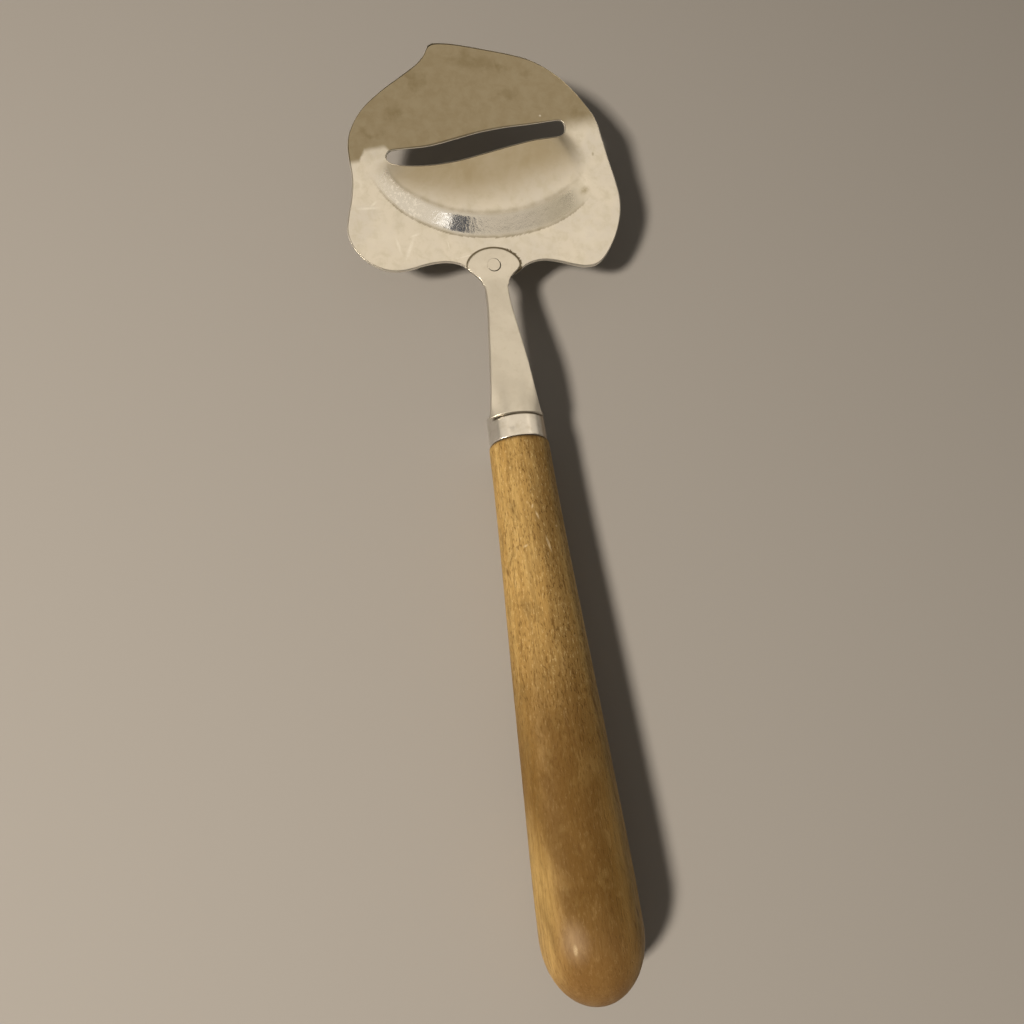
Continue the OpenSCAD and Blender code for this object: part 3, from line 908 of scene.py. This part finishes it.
# places on the handle, in the working frame: (centre, half sizes, turn in degrees, softness)
MARKS = [((-8.0, -33.6), (0.35, 1.7), 6, 0.8), ((-7.6, -52), (0.22, 2.6), -8, 0.8),
         ((7.3, -66), (0.6, 6), 8, 1.0), ((7.2, -74), (0.5, 3.5), 5, 1.0),
         ((-0.4, -69.5), (0.6, 5.0), 4, 1.0), ((0.8, -74.5), (0.5, 2.2), 8, 1.0),
         ((3.4, -80.5), (0.6, 0.9), 0, 1.0), ((-3.9, -77.5), (0.3, 0.6), 0, 0.8),
         ((9.7, -112.0), (0.45, 2.0), 8, 0.9), ((8.4, -114.0), (0.35, 1.4), 5, 0.9),
         ((-2.0, -96.5), (0.6, 1.8), 0, 1.0), ((5.6, -63.7), (0.8, 1.0), 0, 1.0),
         ((-3.2, -57.5), (0.2, 1.4), 40, 0.8)]
# pale nicks; the last place is a painted highlight on the butt
PALE_NICKS_AND_HIGHLIGHT = [((2.2, -28.6), (0.42, 2.7), 13, 0.8), ((0.5, -21.2), (0.35, 1.5), 16, 0.8),
         ((-0.4, -18.8), (0.3, 0.9), -20, 0.8), ((-3.4, -28.4), (0.9, 0.4), 20, 0.9),
         ((5.1, -24), (0.4, 0.4), 0, 0.8), ((-5.7, -116), (0.6, 1.5), 0, 0.9)]


def wood_material():
    g = Nodes("wood")
    split = g.xyz(g.mm)
    x, y = split["X"], split["Y"]
    fibre = g.noise(g.place(g.mm, scale=(1, 0.055, 1)), 1.5, 5, 0.62, 0.15)
    streak = g.noise(g.place(g.mm, scale=(1, 0.045, 1), loc=(3, 0, 1)), 0.34, 4, 0.6, 0.3)
    pores = g.noise(g.place(g.mm, scale=(1, 0.28, 1)), 2.5, 2, 0.5)
    wide_pores = g.noise(g.place(g.mm, scale=(1, 0.20, 1), loc=(40, 9, 5)), 1.6, 2, 0.5)
    patch = g.noise(g.place(g.mm, scale=(1, 0.42, 1)), 0.11, 4, 0.6, 0.6)
    fine = g.noise(g.mm, 3.0, 3, 0.6)
    light, mid, dark = (0.70, 0.485, 0.19), (0.55, 0.35, 0.118), (0.185, 0.10, 0.023)
    col = g.mix(g.step(streak, 0.36, 0.62), light, mid)
    col = g.mix(g.step(fibre, 0.38, 0.70, 0.0, 0.7), col, times(mid, 0.68))
    # darker to the right of the middle and along the middle, partly the wood's own tone and partly painted
    # shade of light from the left; a painted shadow across the rear part of the handle, lifted on the lit
    # left of the butt
    uneven = g.product(g.minus(patch, 0.5), 16)
    side = g.product(g.step(g.plus(x, uneven), -3.0, 3.5), g.step(x, 3.0, 8.5, 1.0, 0.0))
    grip_shadow = g.step(g.plus(y, uneven), -40, -82)
    butt = g.step(g.plus(y, g.product(uneven, 0.6)), -84, -104)
    butt = g.product(butt, g.step(g.plus(x, g.product(uneven, 0.35)), -4.5, -11.5))
    grip_shadow = g.product(grip_shadow, g.minus(1.0, g.product(butt, 0.75)))
    col = g.mix(g.product(side, 0.58), col, dark)
    # a painted shadow across the rear part of the handle, uneven with the patches and weaker on the right
    painted_shade = g.product(grip_shadow, g.step(patch, 0.3, 0.65, 0.80, 0.97), g.step(x, 3.0, 9.5, 1.0, 0.35))
    col = g.mix(painted_shade, col, times(dark, 1.05))
    # darker along the middle, partly the wood's own tone and partly painted shadow
    middle = g.product(g.step(g.plus(x, uneven), -10.5, -4.0), g.step(x, 6.5, 2.0))
    deep = g.product(middle, g.step(y, -46, -76, 0.15, 0.50))
    col = g.mix(deep, col, (0.125, 0.062, 0.014))
    smudge = g.noise(g.place(g.mm, scale=(1, 0.5, 1), loc=(11, 2, 7)), 0.33, 4, 0.62, 0.4)
    col = g.mix(g.step(smudge, 0.52, 0.70, 0.0, 0.5), col, times(mid, 0.45))
    col = g.mix(g.step(smudge, 0.46, 0.28, 0.0, 0.16), col, (0.66, 0.47, 0.22))
    col = g.mix(g.step(patch, 0.54, 0.74, 0.0, 0.45), col, times(mid, 0.55))
    col = g.mix(g.step(y, -106, -122, 0.0, 0.25), col, (0.36, 0.20, 0.085))
    # pores, short and dark, sunk a little
    few = g.product(g.step(patch, 0.35, 0.6, 0.6, 1.0), g.step(y, -62, -88, 1.0, 0.45))
    pore = g.most([g.step(pores, 0.585, 0.665), g.product(g.step(wide_pores, 0.63, 0.70), 0.8)])
    pore = g.product(pore, few)
    marks = g.spots(g.mm, MARKS)
    col = g.mix(g.product(g.most([pore, marks]), 0.66), col, (0.14, 0.07, 0.018))
    # a light flecking between the pores, pale nicks, and a painted highlight on the butt
    fleck = g.product(g.step(pores, 0.42, 0.34), g.step(fine, 0.35, 0.6))
    col = g.mix(g.product(fleck, g.step(y, -50, -76, 0.42, 0.08)), col, (0.84, 0.65, 0.34))
    pale = g.spots(g.mm, PALE_NICKS_AND_HIGHLIGHT)
    top = g.step(split["Z"], 2.0, 4.0)
    pale = g.product(pale, top, g.step(fine, 0.3, 0.55, 0.5, 1.0))
    col = g.mix(g.product(pale, 0.75), col, (0.80, 0.64, 0.40))
    butt_highlight = g.spot(g.mm, (-5.5, -114.5), (4.0, 6.0), 0, 1.0)
    col = g.mix(g.product(butt_highlight, 0.25), col, (0.72, 0.55, 0.40))
    # painted shade in the gap where the wood meets the ferrule
    col = g.mix(g.step(y, -1.1, -0.1, 0.0, 0.75), col, (0.10, 0.055, 0.02))
    rough = g.plus(g.step(patch, 0.3, 0.7, 0.46, 0.60), g.product(pore, 0.2))
    rough = g.minus(rough, g.step(y, -106, -118, 0.0, 0.10), True)
    height = g.minus(g.product(fibre, 0.5), pore)
    nrm = g.bump(height, 0.45, 0.0003)
    nrm = g.bump(fine, 0.06, 0.0003, nrm)
    g.set(Base_Color=col, Roughness=rough, Normal=nrm, Specular_IOR_Level=0.14)
    return g.mat


MATERIALS = {"plate_steel": plate_material(), "shank_steel": shank_material(),
             "ferrule_steel": ferrule_material(), "wood": wood_material()}
# each piece, the CAD node that it stands for, and the material of both
DRESS = [(plate, "slicer_plate", "plate_steel"), (shank, "shank", "shank_steel"),
         (rivet, "blade_rivet", "shank_steel"), (tang, "tang", "shank_steel"),
         (ferrule, "ferrule", "ferrule_steel"), (handle, "handle", "wood")]
for piece, node, name in DRESS:
    piece.data.materials.clear()
    piece.data.materials.append(MATERIALS[name])
    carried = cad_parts[node]
    if not carried.data.materials:
        carried.data.materials.append(MATERIALS[name])
    for place in carried.material_slots:
        place.material = MATERIALS[name]


# ---------------------------------------------------------------- floor and light
WARM = (1.0, 0.87, 0.69)
AIM = Vector((float(ORG[0]), float(ORG[1]) + 0.05, 0.0))


def flat_sheet(name, half_x, half_y):
    """A flat rectangle for the floor or the card, apart from the object."""
    corners = [(-half_x, -half_y, 0), (half_x, -half_y, 0), (half_x, half_y, 0), (-half_x, half_y, 0)]
    mesh = bpy.data.meshes.new(name)
    mesh.from_pydata(corners, [], [(0, 1, 2, 3)])
    ob = bpy.data.objects.new(name, mesh)
    scene.collection.objects.link(ob)
    return ob


def build_floor():
    floor = flat_sheet("floor", 3.0, 3.0)
    g = Nodes("floor")
    g.set(Base_Color=(0.47, 0.462, 0.468), Roughness=1.0, Specular_IOR_Level=0.0)
    floor.data.materials.append(g.mat)


def build_card():
    """A small dark card that only reflections see: it gives the polished band its dark patch."""
    card = flat_sheet("card", 0.05, 0.085)
    g = Nodes("card")
    g.set(Base_Color=(0.01, 0.01, 0.01), Roughness=1.0, Specular_IOR_Level=0.0)
    # the card glows faintly blue: painted colour for the reflected dark patch
    g.set(Emission_Color=(0.5, 0.65, 1.0), Emission_Strength=0.08)
    card.data.materials.append(g.mat)
    card.location = AIM + Vector((-0.055, -0.305, 0.516))
    card.visible_camera = False
    card.visible_diffuse = False


def fill_light():
    """A faint warm light from all round."""
    world = bpy.data.worlds.new("world")
    scene.world = world
    world.use_nodes = True
    background = world.node_tree.nodes["Background"]
    background.inputs["Color"].default_value = WARM + (1,)
    background.inputs["Strength"].default_value = 0.12


def soft_box(name, place, size, radiance, color=WARM, level=False, seen_in="metal"):
    """A rectangular light at a place from the aim point, in metres, of the given radiance. It lights
    either what reflects (metal) or what scatters (floor and wood), so that each can be set alone."""
    d = bpy.data.lights.new(name, "AREA")
    d.shape = "RECTANGLE"
    d.size, d.size_y = size
    d.energy = radiance * math.pi * size[0] * size[1]
    d.color = color
    o = bpy.data.objects.new(name, d)
    scene.collection.objects.link(o)
    o.location = AIM + Vector(place)
    if not level:
        o.rotation_euler = (-Vector(place)).to_track_quat("-Z", "Y").to_euler()
    o.visible_diffuse = seen_in != "metal"
    o.visible_glossy = seen_in == "metal"


build_floor()
fill_light()
soft_box("key", (-0.57, -0.34, 0.75), (0.12, 0.12), 190.0, seen_in="floor")
soft_box("overhead", (0.10, -0.075, 1.0), (2.0, 1.35), 0.80, level=True)
soft_box("ahead", (0.14, 1.15, 0.82), (1.2, 1.1), 0.74)
soft_box("right", (1.02, 0.43, 0.60), (0.8, 0.9), 0.62)
soft_box("left", (-1.00, 0.40, 0.62), (0.8, 0.9), 0.66)
soft_box("edge", (-0.87, -0.28, 0.42), (0.20, 0.20), 40.0)
soft_box("lamp", (-0.20, -0.355, 0.64), (0.07, 0.09), 1.5, color=(0.97, 0.98, 1.0))
build_card()
scene.view_settings.view_transform = "Standard"

bpy.context.view_layer.update()
